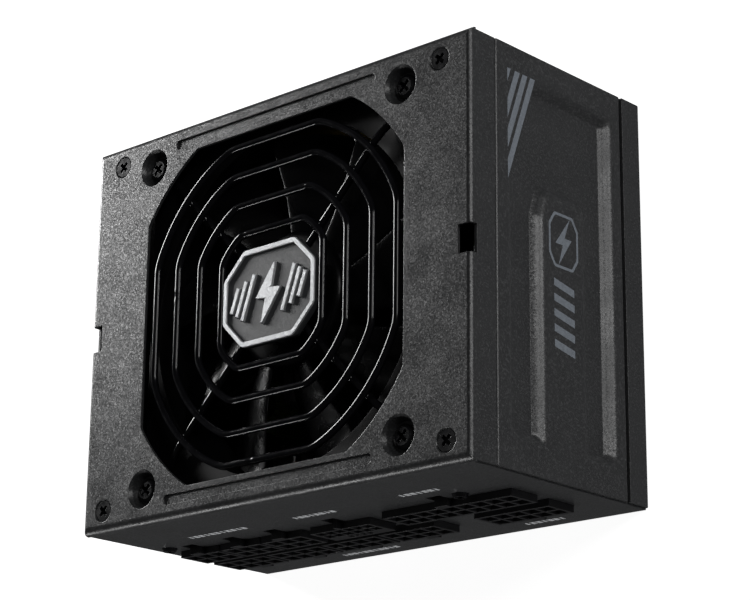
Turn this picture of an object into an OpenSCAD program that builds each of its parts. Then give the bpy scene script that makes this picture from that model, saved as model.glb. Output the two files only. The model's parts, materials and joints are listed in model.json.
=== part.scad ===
// Compact modular desktop power supply, lying flat with its fan face up.
// The origin is the centre of the bottom face. X is the width of the case.
// The modular sockets are on the front, at -Y, and the mains inlet is on the rear, at +Y.

/* [Case] */
// Width of the case over its base flanges
case_w = 125; // [124:0.5:127]
// Depth of the case over its front and rear panels
case_d = 100; // [100:0.5:104]
// Height of the case
case_h = 63.5; // [63:0.1:65]
// Thickness of the sheet metal
sheet = 0.8; // [0.7:0.05:0.9]
// Depth of the channel pressed into each side panel
press_depth = 2.4; // [1.6:0.1:2.6]

/* [Fan] */
// Spacing of the fan screws
fan_pitch = 82.5; // [82:0.1:83]
// Radius of the fan blades at their tips
blade_tip_r = 42.2; // [40:0.1:42.3]
// Number of fan blades
blade_count = 9; // [7:1:11]
// Radius of the fan hub
hub_r = 17; // [16.8:0.1:17.4]
// Radius of the grille wire
wire_r = 0.9; // [0.8:0.05:0.9]

/* [Connectors] */
// Distance between neighbouring socket cells
cell_pitch = 4.2; // [4.1:0.05:4.25]
// Width of one socket cell
cell_w = 3.5; // [3.2:0.1:3.6]
// How far the sockets and the mains inlet stand out of the case
stand_out = 1.7; // [1.6:0.1:2]

/* [Switch] */
// Angle of the rocker away from its level position
rocker_tilt = 11; // [8:0.5:11]

/* [Hidden] */
SOCKETS_6 = ["socket_6_pin_1", "socket_6_pin_2", "socket_6_pin_3"];
SOCKETS_8 = ["socket_8_pin_1", "socket_8_pin_2", "socket_8_pin_3", "socket_8_pin_4"];

$fn = 64;
// A little extra, so that a cut runs clean through a face
eps = 0.1;
// Radial clearance of turning pins
running_fit = 0.05;

// Case: the three layers of each side stand out by slightly different amounts
base_x = case_w / 2;
panel_x = base_x - 0.2;
cover_x = base_x - 0.4;
front_y = case_d / 2;
// The side sheets stop short of the front and rear faces
side_end_y = front_y - 0.4;
inner_y = front_y - sheet;
cover_flange_z = case_h - 8.5;
panel_top_z = cover_flange_z - 0.2;
base_flange_z = 7.4;
panel_low_z = base_flange_z + 0.6;
// The front and rear panels end under the bend of the cover
wall_top_z = case_h - 2;
side_bend_r = 1.2;
end_bend_r = 2;
tab_z = case_h - 2.2;

// Fan stack, from the top down
dimple_depth = 2.6;
fan_top_z = case_h - dimple_depth - sheet - 2 * wire_r;
fan_h = 15;
fan_low_z = fan_top_z - fan_h;
fan_w = 92;
duct_r = 43;
ring_z = case_h - wire_r - 0.25;
// The arms lie against the underside of the rings
arm_z = ring_z - 2 * wire_r - 0.02;
eye_z = fan_top_z + wire_r;
hub_top_z = fan_top_z - 1;
shaft_r = 1.5;
opening_flat = 42.6;
opening_r = 49.8;
opening_corner = 3;

// Places of the four fan screws and of the four cover screws
fan_screw_xy = [for (sx = [-1, 1], sy = [-1, 1]) [sx * fan_pitch / 2, sy * fan_pitch / 2]];
cover_screw_xy = [[-53, 44.3], [53, 44.3], [-55, -44.6], [55, -44.6]];

// Sockets: centre along X, columns, and the height of the lower edge of each row
socket_h = 9.3;
row_pitch = 4.2;
main_row_z = 28.1;
upper_row_z = 25.9;
lower_row_z = 14.6;
socket_front_y = -front_y - stand_out;
socket_back_y = -38.4;
board_t = 1.6;
small_x = [for (i = [0:2]) -50.2 + 14.25 * i];
medium_x = [for (i = [0:3]) -47.9 + 18.85 * i];
main_x = 32.45;
aux_x = 40.7;
power_x = -2.35;
power_w = 19.3;
// Each entry is [centre x, columns, low edge, 1 when the latch is on the upper side]
cell_sockets = concat(
    [for (x = small_x) [x, 3, upper_row_z, 1]],
    [for (x = medium_x) [x, 4, lower_row_z, -1]],
    [[main_x, 9, main_row_z, 1], [aux_x, 5, lower_row_z, -1]]);
latch_w = 3.6;
latch_rise = 1.6;
panel_screw_xz = [[-56.7, 39.4], [39.3, 40.2]];

// Main board
board_low_z = 5;
board_top_z = board_low_z + board_t;
standoff_xy = [[-52, -30], [52, -30], [-53, 40], [53, 40]];

// Mains inlet and switch
inlet_x = 36;
switch_x = 9;
rear_part_z = 20;
rocker_pivot_y = front_y - 4;
rocker_pin_r = 1.25;

// Rear mounting holes, 6 mm from the edges of the case
mount_dx = 56.5;
mount_z = [6, 57.5];
mount_hole_r = 1.4;

// ---------- helpers ----------

module box_between(a, b) { translate(a) cube(b - a); }

module rounded_rect(w, h, r) {
    square([w - 2 * r, h], center = true);
    square([w, h - 2 * r], center = true);
    for (sx = [-1, 1], sy = [-1, 1]) translate([sx * (w / 2 - r), sy * (h / 2 - r)]) circle(r);
}

// A slab that stands in the XZ plane, from y0 to y1, with its outline centred on x and z
module upright(x, z, y0, y1) {
    translate([x, y1, z]) rotate([90, 0, 0]) linear_extrude(y1 - y0) children();
}

// An outline with its two upper corners rounded
module arched(half, low, top, r) {
    translate([-half, low]) square([2 * half, top - r - low]);
    translate([r - half, low]) square([2 * (half - r), top - low]);
    for (s = [-1, 1]) translate([s * (half - r), top - r]) circle(r);
}

// A block whose upper edges are bent round along all four sides
module lid_form(hx, hy, low, top, side_r, end_r) {
    intersection() {
        rotate([90, 0, 0]) linear_extrude(2 * hy, center = true) arched(hx, low, top, side_r);
        rotate([90, 0, 90]) linear_extrude(2 * hx, center = true) arched(hy, low, top, end_r);
    }
}

// Points of an arc, from step first to step n of n
function arc(c, r, a0, a1, n, first = 0) =
    [for (i = [first:n]) let (a = a0 + (a1 - a0) * i / n) [c[0] + r * cos(a), c[1] + r * sin(a)]];

function turned(points, a) =
    [for (p = points) [p[0] * cos(a) - p[1] * sin(a), p[0] * sin(a) + p[1] * cos(a)]];

// A circle of radius big cut by four flats, with its eight corners rounded
function clipped_circle(flat, big, corner) =
    let (c = flat - corner, s = sqrt(pow(big - corner, 2) - c * c), bend = atan2(s, c))
    let (quarter = concat(arc([c, s], corner, 0, bend, 4), arc([0, 0], big, bend, 90 - bend, 10, 1),
        arc([s, c], corner, 90 - bend, 90, 4, 1)))
    [for (k = [0:3]) each turned(quarter, 90 * k)];

module cross_recess(size, depth) {
    for (a = [45, 135]) rotate(a) translate([-size / 2, -0.45, -depth]) cube([size, 0.9, depth + eps]);
}

// ---------- case ----------

module cover() {
    cup_r = 4.8;
    sink_r = 2.9;
    color("dimgray") difference() {
        union() {
            difference() {
                lid_form(cover_x, front_y, cover_flange_z, case_h, side_bend_r, end_bend_r);
                lid_form(cover_x - sheet, inner_y, cover_flange_z - eps, case_h - sheet,
                    side_bend_r - sheet, end_bend_r - sheet);
                for (s = [-1, 1]) {
                    box_between([-cover_x - eps, min(s * side_end_y, s * (front_y + eps)), 0],
                        [cover_x + eps, max(s * side_end_y, s * (front_y + eps)), wall_top_z]);
                    box_between([sheet - cover_x, min(s * inner_y, s * (front_y + eps)), 0],
                        [cover_x - sheet, max(s * inner_y, s * (front_y + eps)), wall_top_z]);
                }
            }
            for (p = fan_screw_xy) translate([p[0], p[1], case_h - dimple_depth - sheet])
                cylinder(r1 = cup_r - 0.6, r2 = cup_r + 0.9, h = dimple_depth);
            for (p = cover_screw_xy) translate([p[0], p[1], tab_z])
                cylinder(r1 = sink_r - 0.4, r2 = sink_r + 0.6, h = case_h - tab_z - sheet / 2);
        }
        translate([0, 0, case_h - 3]) linear_extrude(4)
            polygon(clipped_circle(opening_flat, opening_r, opening_corner));
        for (p = fan_screw_xy) translate([p[0], p[1], 0]) {
            translate([0, 0, case_h - dimple_depth])
                cylinder(r1 = cup_r - 1.2, r2 = cup_r, h = dimple_depth + 0.001);
            translate([0, 0, fan_top_z]) cylinder(r = 2.1, h = 10);
        }
        for (p = cover_screw_xy) translate([p[0], p[1], 0]) {
            translate([0, 0, case_h - 1.4]) cylinder(r1 = 1.5, r2 = sink_r, h = 1.401);
            translate([0, 0, tab_z - 1]) cylinder(r = 1.5, h = 3);
        }
        // Two shallow grooves along the front and rear edges
        for (y = [45.15, -45.1]) translate([0, y, case_h - 0.45])
            linear_extrude(1) rounded_rect(66.8, 2.5, 1.2);
        // A notch in the middle of each side edge
        for (s = [-1, 1]) translate([s * cover_x, 0, case_h]) cube([7.5, 6.8, 4.4], center = true);
    }
}

// One level of a pressed shape: round pegs at the corner points, joined by a hull
module press_level(points, r0, d0, r1, d1) {
    hull() for (p = points) {
        translate([-d0, p[0], p[1]]) rotate([0, 90, 0]) cylinder(r = r0, h = 0.01, $fn = 32);
        translate([-d1, p[0], p[1]]) rotate([0, 90, 0]) cylinder(r = r1, h = 0.01, $fn = 32);
    }
}

// A pressed shape that narrows by run from depth d0 to depth d0 + press_depth, with eased edges
module press_shape(points, r, run, d0) {
    steps = 7;
    function eased(t) = t * t * (3 - 2 * t) * 0.6 + t * 0.4;
    for (i = [0:steps - 1])
        press_level(points, r - run * i / steps, d0 + press_depth * eased(i / steps),
            r - run * (i + 1) / steps, d0 + press_depth * eased((i + 1) / steps));
}

module side_panel() {
    press_run = 2.8;
    // Corner centres of the channel and of the raised island, as [y, z]
    channel = [[40.1, 39.5], [19.4, 46.9], [-39, 46.9], [-39, 14.9], [40.1, 14.9]];
    channel_r = 3.6;
    island = [[15.6, 35.1], [11, 36.6], [-46, 36.6], [-46, 24.8], [15.6, 24.8]];
    island_r = 1;
    back_growth = 0.3;
    color("#2b2f33") difference() {
        union() {
            // The panel with its jogged lips, which lie behind the flanges of the cover and the base
            difference() {
                union() {
                    box_between([panel_x - sheet, -side_end_y, panel_low_z],
                        [panel_x, side_end_y, panel_top_z]);
                    box_between([cover_x - 2 * sheet, -side_end_y + 0.6, panel_top_z - sheet],
                        [panel_x - sheet, side_end_y - 0.6, panel_top_z]);
                    box_between([cover_x - 2 * sheet, -side_end_y + 0.6, panel_top_z - sheet],
                        [cover_x - sheet, side_end_y - 0.6, case_h - 3.5]);
                    box_between([base_x - 2 * sheet, -side_end_y + 0.6, 1.4],
                        [base_x - sheet, side_end_y - 0.6, panel_low_z + sheet]);
                    box_between([base_x - 2 * sheet, -side_end_y + 0.6, panel_low_z],
                        [panel_x - sheet, side_end_y - 0.6, panel_low_z + sheet]);
                }
                // The notch of the cover also shows the panel's lip
                box_between([cover_x - 2 * sheet - eps, -2.6, case_h - 5],
                    [cover_x, 2.6, case_h]);
            }
            intersection() {
                difference() {
                    translate([panel_x, 0, 0])
                        press_shape(channel, channel_r + back_growth, press_run, sheet);
                    translate([panel_x, 0, 0])
                        press_shape(island, island_r - back_growth, -press_run, sheet);
                }
                box_between([50, -side_end_y + 0.6, panel_low_z],
                    [panel_x - sheet / 2, side_end_y - 0.6, panel_top_z]);
            }
        }
        difference() {
            translate([panel_x, 0, 0]) press_shape(channel, channel_r, press_run, 0);
            translate([panel_x, 0, 0]) press_shape(island, island_r, -press_run, 0);
        }
    }
}

module side_panel_right() { side_panel(); }
module side_panel_left() { mirror([1, 0, 0]) side_panel(); }

module base_tray() {
    color("#26292c") difference() {
        rotate([90, 0, 0]) linear_extrude(2 * side_end_y, center = true)
            mirror([0, 1]) arched(base_x, -base_flange_z, 0, side_bend_r);
        rotate([90, 0, 0]) linear_extrude(2 * front_y, center = true)
            mirror([0, 1]) arched(base_x - sheet, -base_flange_z - eps, -sheet, side_bend_r - sheet);
        // The front and rear panels stand in front of the floor
        for (s = [-1, 1]) box_between([sheet - cover_x, min(s * inner_y, s * front_y), -eps],
            [cover_x - sheet, max(s * inner_y, s * front_y), base_flange_z + eps]);
        for (x = [-50, 0, 50], s = [-1, 1]) translate([x, s * (inner_y - 3), -eps])
            cylinder(r = 1.5, h = sheet + 2 * eps);
        for (p = standoff_xy) translate([p[0], p[1], -eps]) cylinder(r = 1.25, h = sheet + 2 * eps);
        // A shallow pressed field for the label
        translate([0, 0, -eps]) linear_extrude(0.25 + eps) rounded_rect(80, 50, 2);
    }
}

// A flat wall of the case at -Y
module end_wall() {
    difference() {
        box_between([sheet - cover_x, -front_y, 0], [cover_x - sheet, -inner_y, wall_top_z]);
        children();
    }
}

// Inside each wall, a foot angle takes its rivets and two corner tabs take the cover screws
module wall_angles() {
    foot_x = 58;
    upright_x = 52;
    color("silver") for (side = [-1, 1]) {
        difference() {
            union() {
                box_along(-foot_x, foot_x, side, inner_y - 6, inner_y, sheet, 2 * sheet);
                box_along(-upright_x, upright_x, side, inner_y - sheet, inner_y, sheet, 6.5);
            }
            for (x = [-50, 0, 50]) translate([x, side * (inner_y - 3), 0]) cylinder(r = 1.5, h = 3);
        }
        for (p = cover_screw_xy) if (p[1] * side > 0) {
            out = sign(p[0]);
            difference() {
                union() {
                    box_along(p[0] - 4.5, p[0] + 4.5, side, inner_y - 8.6, inner_y, tab_z - sheet, tab_z);
                    box_along(min(p[0] - 4.5 * out, p[0]), max(p[0] - 4.5 * out, p[0]), side,
                        inner_y - sheet, inner_y, tab_z - 6, tab_z);
                    translate([p[0], p[1], tab_z - 3]) cylinder(r = 2.5, h = 3 - sheet / 2);
                }
                translate([p[0], p[1], tab_z - 4]) cylinder(r = 1.25, h = 5);
            }
        }
    }
}

// A box beside the front wall, when side is -1, or beside the rear wall, when it is 1
module box_along(x0, x1, side, y0, y1, z0, z1) {
    box_between([x0, min(side * y0, side * y1), z0], [x1, max(side * y0, side * y1), z1]);
}

module socket_cutouts() {
    gap = 0.15;
    for (s = cell_sockets) {
        w = s[1] * cell_pitch + 0.9;
        box_between([s[0] - w / 2 - gap, -front_y - eps, s[2] - gap],
            [s[0] + w / 2 + gap, -inner_y + eps, s[2] + socket_h + gap]);
        latch_notch(s[0], s[2], s[3]);
    }
    box_between([power_x - power_w / 2 - gap, -front_y - eps, upper_row_z - gap],
        [power_x + power_w / 2 + gap, -inner_y + eps, upper_row_z + socket_h + gap]);
    latch_notch(power_x, upper_row_z, 1);
    for (p = panel_screw_xz) translate([p[0], -inner_y + eps, p[1]]) rotate([90, 0, 0])
        cylinder(r = 1.25, h = 2);
}

// The opening above or below a socket, which lets the plug's latch hook behind the panel
module latch_notch(x, low, side) {
    edge = side > 0 ? low + socket_h : low;
    box_between([x - 2.1, -front_y - eps, min(edge, edge + side * 4.5)],
        [x + 2.1, -inner_y + eps, max(edge, edge + side * 4.5)]);
}

module front_panel() {
    color("#232527") end_wall() socket_cutouts();
}

// The honeycomb vent leaves out the corner of the inlet and the switch
module rear_cutouts() {
    hex_r = 2.8;
    step_x = 6;
    step_z = 5.2;
    for (row = [0:8], col = [-8:8]) {
        x = step_x * (col + (row % 2) / 2);
        z = 10 + step_z * row;
        if (x > -50 && x < 50 && (x < -3.5 || z > 36))
            translate([-x, -inner_y + eps, z]) rotate([90, 0, 0]) rotate(30)
                cylinder(r = hex_r, h = 2, $fn = 6);
    }
    upright(-inlet_x, rear_part_z, -front_y - eps, -inner_y + eps) rounded_rect(27, 19.5, 1);
    upright(-switch_x, rear_part_z, -front_y - eps, -inner_y + eps) rounded_rect(12.8, 19.2, 0.5);
}

module rear_panel() {
    color("#232527") rotate(180) difference() {
        union() {
            end_wall() rear_cutouts();
            for (sx = [-1, 1], z = mount_z) translate([sx * mount_dx, -inner_y + 1.6, z])
                rotate([90, 0, 0]) cylinder(r = 2.6, h = 1.6 + sheet / 2);
        }
        for (sx = [-1, 1], z = mount_z) translate([sx * mount_dx, -inner_y + 2, z])
            rotate([90, 0, 0]) cylinder(r = mount_hole_r, h = 4);
    }
}

module cover_screws() {
    color("#1c1d1e") for (p = cover_screw_xy) translate([p[0], p[1], 0]) difference() {
        union() {
            translate([0, 0, case_h - 1.4]) cylinder(r1 = 1.25, r2 = 2.55, h = 1.25);
            translate([0, 0, tab_z - 4]) cylinder(r = 1.25, h = case_h - 1.4 - tab_z + 4);
        }
        translate([0, 0, case_h - 0.15]) cross_recess(3, 0.8);
    }
}

module tray_rivets() {
    color("silver") for (x = [-50, 0, 50], s = [-1, 1]) translate([x, s * (inner_y - 3), 0]) {
        translate([0, 0, 0.05]) cylinder(r = 1.4, h = 2 * sheet - 0.05);
        translate([0, 0, 2 * sheet]) cylinder(r1 = 2.1, r2 = 1.5, h = 0.7);
    }
}

module panel_screws() {
    color("#1c1d1e") for (p = panel_screw_xz) translate([p[0], -front_y, p[1]]) rotate([90, 0, 0]) {
        difference() {
            cylinder(r1 = 2, r2 = 1.5, h = 0.9);
            translate([0, 0, 0.9]) cross_recess(2.3, 0.6);
        }
        translate([0, 0, -7]) cylinder(r = 1.25, h = 7);
    }
}

// Blocks that tie the modular board to the front panel
module board_brackets() {
    color("silver") for (p = panel_screw_xz) difference() {
        box_between([p[0] - 2.1, -inner_y, p[1] - 1.7], [p[0] + 2.1, socket_back_y, p[1] + 2.4]);
        translate([p[0], socket_back_y + eps, p[1]]) rotate([90, 0, 0]) cylinder(r = 1.25, h = 12);
    }
}

module spec_label() {
    color("gainsboro") translate([0, 0, 0.05]) linear_extrude(0.2) rounded_rect(79, 49, 1.8);
}

module insulating_sheet() {
    color("ivory") difference() {
        box_between([-57, -42, sheet], [57, 42, sheet + 0.4]);
        for (p = standoff_xy) translate([p[0], p[1], 0]) cylinder(r = 3.4, h = 4);
    }
}

// ---------- grille and badge ----------

// A wire of round section along a path that lies in one plane, whose normal is axis
module swept_wire(path, axis, closed, r = wire_r) {
    sides = 10;
    n = len(path);
    function at(i) = path[closed ? (i + n) % n : max(0, min(n - 1, i))];
    function section(i) =
        let (t = at(i + 1) - at(i - 1), across = cross(t / norm(t), axis))
        [for (k = [0:sides - 1]) at(i) + r * (cos(360 * k / sides) * across + sin(360 * k / sides) * axis)];
    last = closed ? n - 1 : n - 2;
    skin = [for (i = [0:last], k = [0:sides - 1])
        let (j = (i + 1) % n, m = (k + 1) % sides)
        [i * sides + k, i * sides + m, j * sides + m, j * sides + k]];
    ends = closed ? [] : [[for (k = [sides - 1:-1:0]) k], [for (k = [0:sides - 1]) (n - 1) * sides + k]];
    polyhedron([for (i = [0:n - 1]) each section(i)], concat(skin, ends));
}

// A wire ring: a circle of radius big with four straight sides at distance flat
module wire_ring(flat, big) {
    swept_wire([for (p = clipped_circle(flat, big, flat / 4)) [p[0], p[1], ring_z]], [0, 0, 1], true);
}

// One arm lies under the rings and dips to an eye round its fan screw
module grille_arm() {
    dip_start = 44;
    dip_end = 52.4;
    eye_r = 2.9;
    screw_r = fan_pitch / sqrt(2);
    swept_wire([[7, 0, arm_z], [dip_start - 2, 0, arm_z], [dip_start, 0, arm_z - 0.1],
        [dip_end - 2, 0, eye_z + 0.1], [dip_end, 0, eye_z], [screw_r - eye_r - wire_r - 0.02, 0, eye_z]],
        [0, 1, 0], false);
    translate([screw_r, 0, eye_z]) rotate_extrude() translate([eye_r, 0]) circle(wire_r);
}

module fan_grille() {
    rings = [[39.6, 42.2], [32.1, 34.9], [24.2, 27.1], [16.6, 19.6]];
    color("#141516") {
        for (r = rings) wire_ring(r[0], r[1]);
        for (a = [45, 135, 225, 315]) rotate(a) grille_arm();
    }
}

badge_w = 30;
badge_h = 24;
badge_cut = 6.5;
badge_low_z = arm_z + wire_r;

// The outline of the badge: a plate with its four corners cut, smaller all round by inset
module badge_outline(inset) {
    w = badge_w / 2 - inset;
    h = badge_h / 2 - inset;
    c = badge_cut - 0.586 * inset;
    polygon([[w, h - c], [w - c, h], [c - w, h], [-w, h - c],
        [-w, c - h], [c - w, -h], [w - c, -h], [w, c - h]]);
}

module badge_plate() {
    color("silver") translate([0, 0, badge_low_z]) difference() {
        linear_extrude(case_h - badge_low_z) badge_outline(0);
        translate([0, 0, 0.8]) linear_extrude(4) badge_outline(1.3);
    }
}

module badge_field() {
    color("#4a4d50") translate([0, 0, badge_low_z + 0.8])
        linear_extrude(case_h - badge_low_z - 0.8 - 0.7) badge_outline(1.3);
}

// A lightning bolt between two groups of slanted bars
module badge_emblem() {
    low = case_h - 0.7;
    color("silver") translate([0, 0, low]) linear_extrude(case_h - low) {
        polygon([[2.6, 8.6], [-4.4, -1.2], [-0.5, -1.2], [-2.6, -8.6], [4.4, 1.2], [0.5, 1.2]]);
        for (s = [-1, 1], i = [0:2]) {
            x = s * (6.6 + 2.2 * i);
            h = 5.6 - 1.2 * i;
            polygon([[x - 0.6 - 0.35 * h, -h], [x + 0.6 - 0.35 * h, -h], [x + 0.6 + 0.35 * h, h],
                [x - 0.6 + 0.35 * h, h]]);
        }
    }
}

// ---------- fan ----------

module fan_frame() {
    flange_t = 3.2;
    base_t = 1.5;
    color("#17181a") {
        difference() {
            union() {
                for (z = [fan_low_z, fan_top_z - flange_t]) translate([0, 0, z])
                    linear_extrude(flange_t) rounded_rect(fan_w, fan_w, 5);
                translate([0, 0, fan_low_z]) cylinder(r = duct_r + 1.8, h = fan_h, $fn = 96);
                for (p = fan_screw_xy) translate([p[0], p[1], fan_low_z]) cylinder(r = 3.8, h = fan_h);
            }
            translate([0, 0, fan_low_z - eps]) cylinder(r = duct_r, h = fan_h + 2 * eps, $fn = 96);
            for (p = fan_screw_xy) translate([p[0], p[1], fan_low_z - eps])
                cylinder(r = 1.95, h = fan_h + 2 * eps);
        }
        for (a = [20, 110, 200, 290]) rotate(a)
            box_between([hub_r - 1, -2.2, fan_low_z], [duct_r + 0.5, 2.2, fan_low_z + 2.1]);
        translate([0, 0, fan_low_z]) cylinder(r = hub_r, h = base_t);
        translate([0, 0, fan_low_z + base_t - eps]) difference() {
            cylinder(r = 4.2, h = 7.3);
            translate([0, 0, eps]) cylinder(r = 3, h = 8);
        }
    }
}

module fan_screws() {
    head_low = case_h - dimple_depth;
    color("#1c1d1e") for (p = fan_screw_xy) translate([p[0], p[1], head_low]) difference() {
        union() {
            cylinder(r = 2.95, h = 0.7);
            translate([0, 0, 0.7]) cylinder(r1 = 2.95, r2 = 2.1, h = 0.6);
            translate([0, 0, -10]) cylinder(r = 1.9, h = 10);
        }
        translate([0, 0, 1.3]) cross_recess(3.4, 1);
    }
}

// Plan outline of one blade: both edges lean by sweep degrees from root to tip
function blade_outline(root, tip, half_angle, sweep) =
    let (n = 8, edge = function (side) [for (i = [0:n]) let (r = root + (tip - root) * i / n,
        a = side * half_angle + sweep * (i / n)) [r * cos(a), r * sin(a)]])
    let (low = edge(-1), high = edge(1))
    concat(low, [for (i = [n:-1:0]) high[i]]);

// One cambered blade: a slice of a thin tube, cut to its plan outline
module blade(a) {
    camber_r = 40;
    blade_t = 1.1;
    lean = 22;
    mid_z = (fan_low_z + fan_top_z) / 2 + 3.4;
    rotate(a) intersection() {
        translate([0, 0, fan_low_z + 2.9]) linear_extrude(fan_h - 4.4)
            polygon(blade_outline(hub_r - 0.6, blade_tip_r + 2, 15, 10));
        translate([0, camber_r * sin(lean), mid_z - camber_r * cos(lean)]) rotate([0, 90, 0])
            difference() {
                cylinder(r = camber_r, h = duct_r + 4, $fn = 128);
                translate([0, 0, -eps]) cylinder(r = camber_r - blade_t, h = duct_r + 5, $fn = 128);
            }
        cylinder(r = blade_tip_r, h = case_h, $fn = 96);
    }
}

module fan_rotor() {
    skirt_z = fan_low_z + 2.7;
    // Angle of the first blade's root at rest
    first_blade = 36;
    color("#202123") difference() {
        union() {
            for (i = [0:blade_count - 1]) blade(first_blade + i * 360 / blade_count);
            rotate_extrude($fn = 96) polygon([[0, hub_top_z - 1.2], [hub_r - 1.2, hub_top_z - 1.2],
                [hub_r - 1.2, skirt_z], [hub_r, skirt_z], [hub_r, hub_top_z - 1.7], [hub_r - 3, hub_top_z],
                [0, hub_top_z]]);
            translate([0, 0, hub_top_z - 4.8]) cylinder(r = 3, h = 4);
        }
        translate([0, 0, hub_top_z - 5]) cylinder(r = shaft_r, h = 4);
        // The blades stop at the hub wall
        translate([0, 0, fan_low_z])
            cylinder(r = hub_r - 1.2, h = hub_top_z - 1.2 - fan_low_z - 4.8, $fn = 96);
        translate([0, 0, hub_top_z - 6]) difference() {
            cylinder(r = hub_r - 1.2, h = 4.8, $fn = 96);
            translate([0, 0, -eps]) cylinder(r = 3, h = 6);
        }
    }
}

module rotor_magnet() {
    color("#3a3532") translate([0, 0, fan_low_z + 3]) difference() {
        cylinder(r = hub_r - 1.2, h = 7.6, $fn = 96);
        translate([0, 0, -eps]) cylinder(r = hub_r - 2.7, h = 8, $fn = 96);
    }
}

module fan_shaft() {
    color("lightgray") translate([0, 0, fan_low_z + 2])
        cylinder(r = shaft_r, h = hub_top_z - 1 - fan_low_z - 2);
}

module fan_bearing() {
    color("goldenrod") translate([0, 0, fan_low_z + 1.7]) difference() {
        cylinder(r = 3, h = 6.8);
        translate([0, 0, -eps]) cylinder(r = shaft_r + running_fit, h = 7);
    }
}

stator_z = fan_low_z + 3.8;
stator_h = 4;

module stator_core() {
    color("slategray") translate([0, 0, stator_z]) difference() {
        union() {
            cylinder(r = 6, h = stator_h);
            for (a = [0, 90, 180, 270]) rotate(a) {
                box_between([5, -1.3, 0], [12, 1.3, stator_h]);
                intersection() {
                    difference() {
                        cylinder(r = 13.6, h = stator_h);
                        translate([0, 0, -eps]) cylinder(r = 11.8, h = stator_h + 1);
                    }
                    box_between([8, -7, 0], [14, 7, stator_h]);
                }
            }
        }
        translate([0, 0, -eps]) cylinder(r = 4.2, h = stator_h + 1);
    }
}

module stator_coils() {
    color("chocolate") for (a = [0, 90, 180, 270]) rotate(a) difference() {
        box_between([6.6, -3.4, stator_z - 1.3], [11.3, 3.4, stator_z + stator_h + 1.3]);
        box_between([6, -1.3, stator_z], [12, 1.3, stator_z + stator_h]);
    }
}

// The motor's lead runs under the frame to its edge, then down to its plug on the main board
module fan_cable() {
    cable_r = 1.1;
    bend_r = 5;
    top = fan_low_z - cable_r - 0.05;
    plug_h = 5.4;
    start = [-13, -6, top];
    corner = [-50.5, -21.5, top];
    u = (corner - start) / norm(corner - start);
    path = concat([start],
        [for (a = [0:15:90]) corner + bend_r * (sin(a) - 1) * u + [0, 0, bend_r * (cos(a) - 1)]],
        [[corner[0], corner[1], board_top_z + plug_h + 0.05]]);
    color("#151515") {
        swept_wire(path, [-u[1], u[0], 0], false, cable_r);
        box_between([corner[0] - 3, corner[1] - 2.5, board_top_z],
            [corner[0] + 3, corner[1] + 2.5, board_top_z + plug_h]);
    }
}

// ---------- mains inlet and switch ----------

inlet_depth = 16.5;
inlet_floor_y = front_y + stand_out - inlet_depth;
// Each pin is [x, z] from the centre of the inlet
inlet_pin_xz = [[-7, -2], [0, 2], [7, -2]];

module ac_inlet() {
    color("#101112") difference() {
        union() {
            upright(inlet_x, rear_part_z, front_y, front_y + stand_out) rounded_rect(30.5, 24, 2);
            upright(inlet_x, rear_part_z, inlet_floor_y - 2.3, front_y) rounded_rect(27, 19.5, 1);
        }
        // The socket has its two upper corners cut
        upright(inlet_x, rear_part_z, inlet_floor_y, front_y + stand_out + eps)
            polygon([[-12, -8], [12, -8], [12, 3.5], [7.5, 8], [-7.5, 8], [-12, 3.5]]);
        for (p = inlet_pin_xz) translate([inlet_x + p[0] - 1, inlet_floor_y - 4, rear_part_z + p[1] - 2])
            cube([2, 5, 4]);
    }
}

module inlet_pins() {
    color("silver") for (p = inlet_pin_xz) translate([inlet_x + p[0], 0, rear_part_z + p[1]]) {
        box_between([-1, inlet_floor_y - 2.3, -2], [1, front_y - 1.4, 2]);
        box_between([-0.4, inlet_floor_y - 8.3, -2], [0.4, inlet_floor_y - 2.3, 2]);
    }
}

module switch_housing() {
    hole_h = 11.4;
    color("#101112") difference() {
        union() {
            upright(switch_x, rear_part_z, front_y, front_y + 1.2) rounded_rect(15, 21, 1.2);
            upright(switch_x, rear_part_z, front_y - 14, front_y) rounded_rect(12.8, 19.2, 0.5);
        }
        upright(switch_x, rear_part_z, front_y - 9.5, front_y + 2) square([9.6, 17.2], center = true);
        translate([switch_x - hole_h / 2, rocker_pivot_y, rear_part_z]) rotate([0, 90, 0])
            cylinder(r = rocker_pin_r + running_fit, h = hole_h);
    }
}

// The rocker: two shallow planes over a round hub with a pin at each end
module switch_rocker() {
    rocker_w = 9;
    color("#1b1c1e") translate([switch_x, rocker_pivot_y, rear_part_z]) rotate([-rocker_tilt, 0, 0]) {
        rotate([0, -90, 0]) mirror([0, 0, 1]) translate([0, 0, -rocker_w / 2]) linear_extrude(rocker_w) {
            polygon([[-7.5, 4.8], [0, 4.3], [7.5, 4.8], [7.3, 1.4], [2.6, -1], [-2.6, -1], [-7.3, 1.4]]);
            circle(2.8);
        }
        rotate([0, 90, 0]) cylinder(r = rocker_pin_r, h = 10.8, center = true);
    }
}

module switch_terminals() {
    color("silver") for (z = [-5, 5]) translate([switch_x, 0, rear_part_z + z])
        box_between([-0.4, front_y - 22, -2.4], [0.4, front_y - 14, 2.4]);
}

// Stiff leads from the inlet and the switch down to the main board
module mains_leads() {
    lead_r = 1.1;
    color("firebrick") {
        for (p = inlet_pin_xz) translate([inlet_x + p[0], inlet_floor_y - 6, board_top_z])
            cylinder(r = lead_r, h = rear_part_z + p[1] - 2 - board_top_z, $fn = 24);
        translate([switch_x, front_y - 19, board_top_z])
            cylinder(r = lead_r, h = rear_part_z - 7.4 - board_top_z, $fn = 24);
    }
}

// ---------- modular sockets ----------

function socket_w(cols) = cols * cell_pitch + 0.9;

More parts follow.
